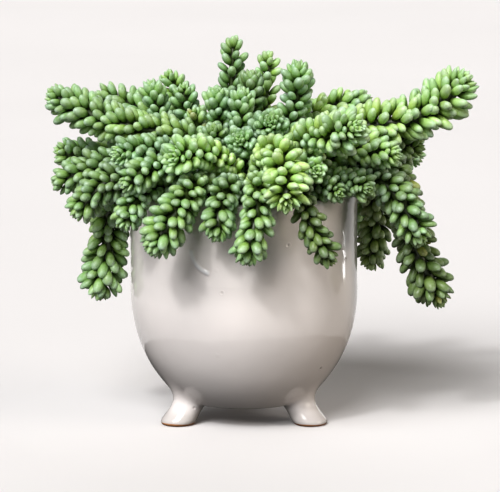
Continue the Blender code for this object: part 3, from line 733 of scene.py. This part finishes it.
def stem_tube(route):
    """The stem itself: its points ring by ring, their colours, and its faces."""
    sunk = route.points[0] - np.array([0, 0, SUNK_DEPTH])
    along = np.linspace(0, route.end, max(LEAST_STEM_RINGS, int(route.end / STEM_STEP)))
    centre, _, normal, side = route.at(along)
    centre = np.vstack([sunk, centre])
    normal, side = np.vstack([normal[:1], normal]), np.vstack([side[:1], side])
    along = np.append(0, along)
    leafy = np.clip((along - LEAFY_FROM * route.bare) / (LEAFY_FROM * route.bare), 0, 1)
    core = (OPEN_CORE_RADIUS if route.is_open else CORE_RADIUS) * route.girth
    radius = BARE_RADIUS + (core - BARE_RADIUS) * leafy
    radius *= np.minimum(1, STEM_TIP_SHARE + (route.end - along) / GROWTH_SPAN)
    points = []
    for k in range(STEM_SIDES):
        angle = 2 * math.pi * k / STEM_SIDES
        points.append(centre + radius[:, None] * (math.cos(angle) * normal + math.sin(angle) * side))
    points = np.stack(points, axis=1).reshape(-1, 3)
    # Painted shade: the leafy stem is dark, so that the gaps between its leaves read as shaded.
    colour = linear(STEM_BROWN) + (linear(STEM_PAINTED_SHADE) - linear(STEM_BROWN)) * leafy[:, None]
    colours = np.repeat(np.column_stack([colour, np.zeros(len(along))]), STEM_SIDES, axis=0)
    return points, colours, grid_faces(len(along), STEM_SIDES)


def build_stem(route, others, seed, finish):
    random = np.random.default_rng(seed)
    leaves = Leaves(route, random)
    rows, placed = fitted(leaves, others)
    tube, tube_colours, tube_faces = stem_tube(route)
    points = np.vstack([tube, placed.reshape(-1, 3)])
    colours = np.vstack([tube_colours, leaf_colours(leaves, rows).reshape(-1, 4)])
    quads, triangles = leaf_faces(len(rows))
    faces = tube_faces + (quads + len(tube)).tolist() + (triangles + len(tube)).tolist()
    piece = mesh_piece("leafy_" + route.name, points, faces, finish)
    tint = piece.data.color_attributes.new("tint", "FLOAT_COLOR", "POINT")
    tint.data.foreach_set("color", colours.astype(np.float32).reshape(-1))
    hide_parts(route.name)


def build_plant():
    finish = leaf_material()
    routes = [Route(name, points) for name, points in zip(STEMS, spread_routes())]
    for seed, route in enumerate(routes):
        others = np.vstack([other.points for other in routes if other is not route])
        build_stem(route, others, seed, finish)


# The pot and the potting mix.


def bowl_radius(height, inset):
    below = BOWL_TOP - height
    if below <= 0:
        return POT_RADIUS - inset
    share = below / (BOWL_DEPTH - inset)
    return (POT_RADIUS - inset) * math.sqrt(max(0.0, 1 - share * share))


def bowl_heights(lowest, steps):
    """Heights up the bowl, closer together where it curves most."""
    shares = [math.sin(math.pi / 2 * i / steps) ** BOWL_STEP_EASE for i in range(steps + 1)]
    return [lowest + (BOWL_TOP - lowest) * share for share in shares]


def pot_profile():
    """The pot's section as (radius, height), from the middle of its underside over the rim to its floor."""
    lip = POT_WALL / 2
    corner = bowl_radius(POT_UNDERSIDE, 0)
    profile = [(corner * share, POT_UNDERSIDE) for share in UNDERSIDE_SHARES]
    profile += [(bowl_radius(z, 0), z) for z in bowl_heights(POT_UNDERSIDE, BOWL_STEPS)]
    top = POT_HEIGHT - lip
    heights = [BOWL_TOP + (top - BOWL_TOP) * i / WALL_STEPS for i in range(1, WALL_STEPS)]
    profile += [(POT_RADIUS, z) for z in finer(heights, *RUN_HEIGHTS)]
    for i in range(LIP_STEPS + 1):
        angle = math.pi * i / LIP_STEPS
        profile.append((POT_RADIUS - lip + lip * math.cos(angle), top + lip * math.sin(angle)))
    for i in reversed(range(1, INNER_WALL_STEPS)):
        profile.append((POT_RADIUS - POT_WALL, BOWL_TOP + (top - BOWL_TOP) * i / INNER_WALL_STEPS))
    heights = reversed(bowl_heights(POT_FLOOR_TOP, INNER_BOWL_STEPS))
    profile += [(bowl_radius(z, POT_WALL), z) for z in heights]
    return profile + [(0.0, POT_FLOOR_TOP)]


def finer(values, low, high):
    """Rising values, with the steps that start between low and high cut into shorter ones."""
    made = [values[0]]
    for before, after in zip(values, values[1:]):
        cuts = RUN_CUTS if low < before < high else 1
        made += [before + (after - before) * i / cuts for i in range(1, cuts + 1)]
    return made


def pushed_out(points, distance):
    """Points moved straight away from the pot's axis."""
    outward = points.copy()
    outward[..., 2] = 0
    return points + unit(outward) * distance[..., None]


def uneven(points):
    """Points moved in and out a little, as a wall is by hand throwing and by a thick glaze."""
    angle = np.arctan2(points[..., 1], points[..., 0])
    z = points[..., 2]
    wave = sum(size * np.sin(turns * angle + slant * z + start) for size, turns, slant, start in WAVES)
    below = np.clip((z - POT_UNDERSIDE) / WAVE_FADE_BELOW, 0, 1)
    above = np.clip((POT_HEIGHT - z) / WAVE_FADE_ABOVE, 0, 1)
    return pushed_out(points, WAVER / 2 * wave * (below * above))


def with_run(points):
    """Points of the outer wall pushed out along the thick run of glaze."""
    x, y, z = points[..., 0], points[..., 1], points[..., 2]
    aside, up = x - RUN_CENTRE[0], z - RUN_CENTRE[1]
    away = np.abs(np.hypot(aside, up) - RUN_RADIUS)
    crest = 1 - np.clip((away - RUN_CREST) / (RUN_HALF_WIDTH - RUN_CREST), 0, 1)
    left = np.clip((RUN_SIDE - aside) / RUN_SIDE_FADE, 0, 1)
    below = np.clip((RUN_TOP - up) / RUN_TOP_FADE, 0, 1)
    outer = (y < 0) * (np.hypot(x, y) > POT_RADIUS - MM)
    return pushed_out(points, RUN_THICKNESS * crest ** 2 * (3 - 2 * crest) * left * below * outer)


def foot_points(angle_deg):
    """A foot, ring by ring: a stub that leans outwards, then a flare that runs smoothly into the bowl."""
    facing = math.radians(angle_deg)
    ahead = np.array([math.cos(facing), math.sin(facing), 0])
    aside = np.array([-math.sin(facing), math.cos(facing), 0])
    turn = full_turn(FOOT_SEGMENTS)
    spokes = np.cos(turn)[:, None] * ahead + np.sin(turn)[:, None] * aside
    rings = []
    for height, reach, radius in FOOT_STUB:
        rings.append(reach * ahead + radius * spokes + np.array([0, 0, height]))
    start = rings[-1]
    rise = unit(rings[-1] - rings[-2])
    flare = FOOT_FLARE_INNER + (FOOT_FLARE - FOOT_FLARE_INNER) * (0.5 + 0.5 * np.cos(turn))
    end = on_bowl(FOOT_STUB[-1][1] * ahead + flare[:, None] * spokes)
    past = on_bowl(FOOT_STUB[-1][1] * ahead + (FLARE_SLOPE_REACH * flare)[:, None] * spokes)
    leave = unit(past - end)
    reach = np.linalg.norm(end - start, axis=1, keepdims=True)
    near = start + FLARE_PULLS[0] * reach * rise
    far = end - FLARE_PULLS[1] * reach * leave
    for i in range(1, FOOT_STEPS + 1):
        t = i / FOOT_STEPS
        s = 1 - t
        rings.append(s ** 3 * start + 3 * t * s ** 2 * near + 3 * t * t * s * far + t ** 3 * end)
    return np.array(rings)


def on_bowl(points):
    """The points at the height of the pot's underside or bowl, sunk a hair into it."""
    for point in points:
        share = min(1.0, np.linalg.norm(point[:2]) / POT_RADIUS)
        point[2] = max(POT_UNDERSIDE, BOWL_TOP - BOWL_DEPTH * math.sqrt(1 - share * share)) + FLARE_SINK
    return points


def build_pot():
    profile = pot_profile()
    turns = finer(full_turn(POT_SEGMENTS), *RUN_TURNS)
    body = with_run(uneven(turned_points(profile, turns)))
    points = [body.reshape(-1, 3)]
    faces = grid_faces(len(profile), len(turns))
    for angle in FOOT_ANGLES_DEG:
        first = sum(len(part) for part in points)
        foot = foot_points(angle)
        points.append(foot.reshape(-1, 3))
        faces += grid_faces(len(foot), FOOT_SEGMENTS, first)
        faces.append(tuple(first + k for k in reversed(range(FOOT_SEGMENTS))))
    piece = mesh_piece("glazed_pot", np.vstack(points), faces, glaze_material())
    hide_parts("pot")


def build_soil():
    random = np.random.default_rng(SOIL_SEED)
    reach = POT_RADIUS - POT_WALL - SOIL_SIDE_GAP
    radii = reach * np.linspace(0, 1, SOIL_RINGS)
    profile = [(radius, SOIL_TOP - SOIL_CROWN * (radius / reach) ** 2) for radius in radii]
    profile += [(bowl_radius(z, POT_WALL + SOIL_SIDE_GAP), z) for z in (BOWL_TOP, *SOIL_SKIRT)]
    points = turned_points(profile + [(0.0, SOIL_SKIRT[-1])], full_turn(SOIL_SEGMENTS))
    points[:SOIL_RINGS, :, 2] += SOIL_ROUGHNESS * random.uniform(-1, 1, (SOIL_RINGS, SOIL_SEGMENTS))
    points[0] = points[0, 0]
    faces = [tuple(reversed(face)) for face in grid_faces(len(points), SOIL_SEGMENTS)]
    crumbs, crumb_faces = soil_crumbs(random, reach, points.size // 3)
    points = np.vstack([points.reshape(-1, 3), crumbs])
    piece = mesh_piece("potting_mix", points, faces + crumb_faces, soil_material())
    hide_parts("soil")


def soil_crumbs(random, reach, first):
    """Lumps and grit that lie on the potting mix: rough eight-sided grains of many sizes."""
    points, faces = [], []
    corner = np.array([(1, 0, 0), (0, 1, 0), (-1, 0, 0), (0, -1, 0), (0, 0, 1), (0, 0, -1)], float)
    sides = [(k, (k + 1) % 4, 4) for k in range(4)] + [((k + 1) % 4, k, 5) for k in range(4)]
    for _ in range(CRUMBS):
        size = random.uniform(*CRUMB_SIZES)
        radius = (reach - CRUMB_EDGE_GAP) * math.sqrt(random.uniform(0, 1))
        turn = random.uniform(0, 2 * math.pi)
        height = SOIL_TOP - SOIL_CROWN * (radius / reach) ** 2
        centre = np.array([radius * math.cos(turn), radius * math.sin(turn), height + CRUMB_LIFT * size])
        shape = corner * random.uniform(*CRUMB_STRETCHES, (len(corner), 1)) * size
        shape += random.uniform(-CRUMB_SKEW, CRUMB_SKEW, corner.shape) * size
        start = first + len(corner) * len(points)
        points.append(centre + shape)
        faces += [tuple(start + i for i in side) for side in sides]
    return np.vstack(points), faces


# Finishes.


class Nodes:
    """A material's nodes, added and joined in short calls."""

    def __init__(self, name):
        self.material = bpy.data.materials.new(name)
        self.material.use_nodes = True
        self.tree = self.material.node_tree
        self.shader = self.tree.nodes["Principled BSDF"]

    def add(self, kind, **inputs):
        made = self.tree.nodes.new(kind)
        for name, value in inputs.items():
            self.put(made.inputs[name.replace("_", " ")], value)
        return made

    def put(self, socket, value):
        if isinstance(value, bpy.types.NodeSocket):
            self.tree.links.new(value, socket)
        else:
            socket.default_value = value

    def place(self):
        return self.add("ShaderNodeTexCoord").outputs["Object"]

    def noise(self, place, scale, detail=2.0, roughness=0.5):
        made = self.add("ShaderNodeTexNoise", Vector=place, Scale=scale, Detail=detail, Roughness=roughness)
        return made.outputs["Fac"]

    def ranged(self, value, low, high, to_low=0.0, to_high=1.0, kind="LINEAR"):
        made = self.add("ShaderNodeMapRange")
        made.interpolation_type = kind
        for socket, setting in zip(made.inputs[:5], (value, low, high, to_low, to_high)):
            self.put(socket, setting)
        return made.outputs["Result"]

    def spread(self, noise, to_low=0.0, to_high=1.0):
        return self.ranged(noise, *NOISE_RANGE, to_low, to_high)

    def fading(self, value, low, high, kind="LINEAR"):
        """1 up to the low value, down to 0 at the high one."""
        return self.ranged(value, low, high, 1.0, 0.0, kind)

    def math(self, operation, a, b=0.0):
        made = self.add("ShaderNodeMath")
        made.operation = operation
        self.put(made.inputs[0], a)
        self.put(made.inputs[1], b)
        return made.outputs[0]

    def times(self, a, b):
        return self.math("MULTIPLY", a, b)

    def vector(self, operation, a, b=(0, 0, 0)):
        made = self.add("ShaderNodeVectorMath")
        made.operation = operation
        self.put(made.inputs[0], a)
        self.put(made.inputs[1], b)
        return made.outputs["Value" if operation == "LENGTH" else "Vector"]

    def mixed(self, share, a, b, blend="MIX"):
        made = self.add("ShaderNodeMix")
        made.data_type = "RGBA"
        made.blend_type = blend
        self.put(made.inputs[0], share)
        self.put(made.inputs[6], a)
        self.put(made.inputs[7], b)
        return made.outputs[2]

    def between(self, share, colours):
        return self.mixed(share, rgba(colours[0]), rgba(colours[1]))

    def part(self, vector, axis):
        return self.add("ShaderNodeSeparateXYZ", Vector=vector).outputs[axis]

    def bumped(self, height, distance, strength=1.0):
        bump = self.add("ShaderNodeBump", Height=height, Distance=distance, Strength=strength)
        self.put(self.shader.inputs["Normal"], bump.outputs["Normal"])

    def finish(self, **values):
        for name, value in values.items():
            self.put(self.shader.inputs[name.replace("_", " ")], value)
        return self.material


def rgba(colour):
    return (*linear(colour), 1.0)


def leaf_material():
    """Plump green leaves with a patchy pale bloom that is strongest towards their tips."""
    nodes = Nodes("leaf")
    place = nodes.place()
    # The tint holds each leaf's colour together with its painted shade towards the root.
    tint = nodes.add("ShaderNodeAttribute")
    tint.attribute_name = "tint"
    patches = nodes.noise(place, 260, 3.0, 0.6)
    grain = nodes.noise(place, 1500, 2.0, 0.6)
    varied = nodes.mixed(1.0, tint.outputs["Color"], nodes.spread(patches, 0.84, 1.12), "MULTIPLY")
    towards_tip = nodes.math("POWER", tint.outputs["Alpha"], 1.6)
    bloom = nodes.times(towards_tip, nodes.ranged(patches, 0.36, 0.68, 0.24, 0.70))
    colour = nodes.mixed(bloom, varied, rgba(BLOOM))
    nodes.bumped(grain, 0.1 * MM, 0.25)
    rough = nodes.spread(grain, 0.36, 0.50)
    return nodes.finish(Base_Color=colour, Roughness=rough, Specular_IOR_Level=0.6)


def glaze_material():
    """Off-white glaze over clay: glossy and a little uneven, with pits, and bare clay under the feet."""
    nodes = Nodes("glaze")
    place = nodes.place()
    clouds = nodes.noise(place, 26, 2.0)
    fine = nodes.noise(place, 420, 2.0)
    height = nodes.part(place, "Z")
    drawn_down = nodes.add("ShaderNodeMapping", Vector=place, Scale=(1.0, 1.0, 0.35)).outputs["Vector"]
    folds = nodes.noise(drawn_down, 60, 1.0)
    thick = nodes.ranged(nodes.noise(place, 17, 1.0), 0.50, 0.62)
    thick = nodes.times(thick, nodes.ranged(height, 0.080, 0.105))
    runs = nodes.times(thick, folds)
    cells = nodes.add("ShaderNodeTexVoronoi", Vector=place, Scale=70.0)
    away = cells.outputs["Distance"]
    rare = nodes.ranged(nodes.part(cells.outputs["Color"], "Z"), 0.79, 0.80)
    speck = nodes.times(nodes.fading(away, 0.015, 0.035), rare)
    pit = nodes.times(nodes.fading(away, 0.02, 0.11), rare)
    rim = nodes.times(nodes.fading(away, 0.11, 0.16), rare)
    colour = nodes.between(nodes.ranged(clouds, 0.35, 0.65), GLAZE)
    # The glaze darkens towards the bottom of the feet.
    darker_below = nodes.ranged(height, 0.005, 0.014, 0.75, 0.0, "SMOOTHSTEP")
    colour = nodes.mixed(darker_below, colour, rgba(GLAZE_DARKER_BELOW))
    # The run is whiter, partly as thick glaze and partly as a painted highlight.
    run = nodes.times(glaze_run_and_highlight(nodes, place), 0.9)
    colour = nodes.mixed(run, colour, rgba(THICK_GLAZE_AND_HIGHLIGHT))
    colour = nodes.mixed(nodes.times(pit, 0.35), colour, rgba(PIT))
    colour = nodes.mixed(speck, colour, rgba(SPECK))
    edge = nodes.math("ADD", height, nodes.spread(clouds, -UNGLAZED_WAVER, UNGLAZED_WAVER))
    clay = nodes.fading(edge, UNGLAZED_HEIGHT - UNGLAZED_BLEND, UNGLAZED_HEIGHT + UNGLAZED_BLEND)
    colour = nodes.mixed(clay, colour, nodes.between(fine, CLAY))
    relief = nodes.math("ADD", nodes.times(runs, 0.8), nodes.times(clouds, 0.5))
    relief = nodes.math("ADD", relief, nodes.times(rim, 0.08))
    relief = nodes.math("SUBTRACT", relief, nodes.times(pit, 0.35))
    nodes.bumped(relief, MM)
    rough = nodes.spread(fine, 0.06, 0.12)
    rough = nodes.math("MAXIMUM", rough, nodes.times(clay, 0.8))
    return nodes.finish(Base_Color=colour, Roughness=rough)


def glaze_run_and_highlight(nodes, place):
    """The arc where the glaze ran and set thick, whose whiter colour is partly a painted highlight: 1 along
    its crest, 0 away from it.
    """
    middle = (POT_CENTRE[0] + RUN_CENTRE[0], 0.0, RUN_CENTRE[1])
    aside = nodes.vector("MULTIPLY", nodes.vector("SUBTRACT", place, middle), (1.0, 0.0, 1.0))
    away = nodes.math("ABSOLUTE", nodes.math("SUBTRACT", nodes.vector("LENGTH", aside), RUN_RADIUS))
    crest = nodes.fading(away, RUN_CREST, RUN_HALF_WIDTH, "SMOOTHSTEP")
    left = nodes.fading(nodes.part(aside, "X"), RUN_SIDE - RUN_SIDE_FADE, RUN_SIDE)
    below = nodes.fading(nodes.part(aside, "Z"), RUN_TOP - RUN_TOP_FADE, RUN_TOP)
    front = nodes.fading(nodes.part(place, "Y"), -0.05, -0.04)
    return nodes.times(nodes.times(crest, left), nodes.times(below, front))


def soil_material():
    """Dark potting mix of mixed grains."""
    nodes = Nodes("potting_mix")
    place = nodes.place()
    grain = nodes.noise(place, 900, 3.0, 0.7)
    cells = nodes.add("ShaderNodeTexVoronoi", Vector=place, Scale=420.0)
    colour = nodes.between(nodes.spread(grain), SOIL)
    pale = nodes.ranged(nodes.part(cells.outputs["Color"], "Z"), 0.90, 0.93, 0.0, 0.6)
    colour = nodes.mixed(pale, colour, rgba(GRIT))
    nodes.bumped(grain, 0.8 * MM, 0.8)
    return nodes.finish(Base_Color=colour, Roughness=nodes.spread(grain, 0.85, 1.0))


def floor_material():
    nodes = Nodes("floor")
    place = nodes.place()
    tone = nodes.noise(place, 1.2, 3.0)
    colour = nodes.between(nodes.spread(tone), FLOOR)
    rough = nodes.spread(tone, 0.75, 0.85)
    return nodes.finish(Base_Color=colour, Roughness=rough, Specular_IOR_Level=0.2)


# Surroundings.


def facing(direction):
    """The rotation of a camera or lamp that points in a direction."""
    return Vector(direction).to_track_quat("-Z", "Y").to_euler()


def build_camera():
    camera = placed_object("camera", bpy.data.cameras.new("camera"))
    camera.data.lens = CAMERA_LENS_MM
    camera.data.clip_end = 50
    elevation = math.radians(CAMERA_ELEVATION_DEG)
    back = Vector((0, -math.cos(elevation), math.sin(elevation)))
    camera.location = Vector(AIM) + CAMERA_DISTANCE * back
    camera.rotation_euler = facing(-back)
    bpy.context.scene.camera = camera


def build_floor():
    corners = FLOOR_REACH * np.array([(-1, -1, 0), (1, -1, 0), (1, 1, 0), (-1, 1, 0)])
    floor = mesh_object("floor", corners, [(0, 1, 2, 3)], floor_material())
    # The floor throws no light back, so that undersides and gaps stay deep.
    floor.visible_diffuse = False
    floor.visible_glossy = False


def build_reflector():
    """The floor further out, as a ring that shows only in the glaze."""
    profile = [(REFLECTOR_RADIUS, REFLECTOR_HEIGHT), (FLOOR_REACH, REFLECTOR_HEIGHT)]
    rings = turned_points(profile, full_turn(REFLECTOR_SIDES))
    faces = [tuple(reversed(face)) for face in grid_faces(2, REFLECTOR_SIDES)]
    reflector = mesh_object("reflector", rings.reshape(-1, 3), faces, floor_material())
    reflector.visible_camera = False
    reflector.visible_diffuse = False
    reflector.visible_shadow = False


def area_light(name, place, width, height, watts, spread_deg):
    """A soft lamp that faces the plant, with a narrow beam that stays off the floor."""
    lamp = bpy.data.lights.new(name, "AREA")
    lamp.shape = "RECTANGLE"
    lamp.size = width
    lamp.size_y = height
    lamp.energy = watts
    lamp.spread = math.radians(spread_deg)
    made = placed_object(name, lamp)
    made.location = place
    made.rotation_euler = facing(Vector(AIM) - Vector(place))
    made.visible_camera = False


def far_light(name, direction, strength, width_deg, colour=(1, 1, 1)):
    """Even light in one direction, softer the wider it is."""
    sun = bpy.data.lights.new(name, "SUN")
    sun.energy = strength
    sun.angle = math.radians(width_deg)
    sun.color = colour
    made = placed_object(name, sun)
    made.rotation_euler = facing(direction)


def build_light():
    world = bpy.data.worlds.new("world")
    world.use_nodes = True
    sky = world.node_tree.nodes["Background"].inputs
    sky["Color"].default_value = DAYLIGHT
    sky["Strength"].default_value = SKY_STRENGTH
    bpy.context.scene.world = world
    far_light("window", WINDOW_DIRECTION, strength=2.75, width_deg=40)
    far_light("front_fill", FRONT_DIRECTION, strength=0.32, width_deg=50)
    far_light("glint", WINDOW_DIRECTION, strength=0.75, width_deg=6)
    far_light("back_fill", BACK_DIRECTION, strength=0.78, width_deg=60)
    far_light("warm_fill", WARM_DIRECTION, strength=0.88, width_deg=30, colour=WARM_LIGHT)
    area_light("strip", STRIP_PLACE, width=0.035, height=0.16, watts=0.013, spread_deg=40)
    bpy.context.scene.view_settings.view_transform = "Standard"
    bpy.context.scene.view_settings.look = "Medium High Contrast"


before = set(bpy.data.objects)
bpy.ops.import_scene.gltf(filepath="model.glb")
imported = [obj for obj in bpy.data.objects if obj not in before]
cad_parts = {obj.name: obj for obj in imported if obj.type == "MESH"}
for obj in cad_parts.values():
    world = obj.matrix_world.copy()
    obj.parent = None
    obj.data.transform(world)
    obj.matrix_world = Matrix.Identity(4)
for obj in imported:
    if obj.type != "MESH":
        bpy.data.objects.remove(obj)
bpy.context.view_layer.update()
build_camera()
build_light()
build_floor()
build_reflector()
build_pot()
build_soil()
build_plant()
